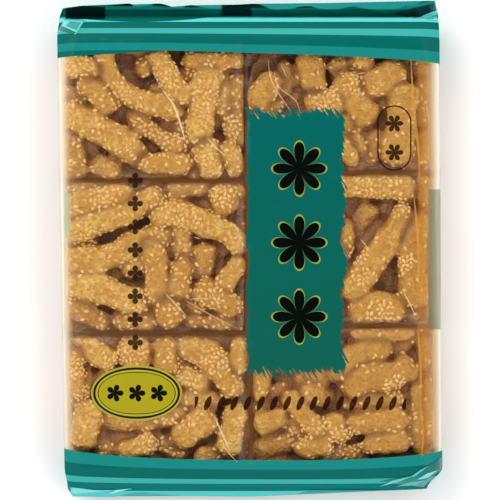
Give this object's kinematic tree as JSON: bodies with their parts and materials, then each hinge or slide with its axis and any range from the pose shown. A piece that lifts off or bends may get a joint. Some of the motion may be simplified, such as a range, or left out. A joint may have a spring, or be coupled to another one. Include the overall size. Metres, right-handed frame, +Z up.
{
  "type": "film pack of sesame sachima",
  "caption": "Shut clear film pack of sesame sachima blocks, lying flat with its printed face up, with a sealed fin at each end.",
  "frame": {"origin": "centre of the pack's footprint, on the surface that it lies on", "axes": "+Z up out of the printed face, +Y towards the head end, +X to the reader's right"},
  "size_m": [0.186, 0.2396, 0.0337],
  "materials": {
    "film": "clear glossy film over golden dough, teal at both ends",
    "dough": "fried golden dough with a thin syrup glaze",
    "seed": "pale toasted sesame"
  },
  "bodies": {
    "root": {"film_pack": "film"}
  },
  "joints": []
}
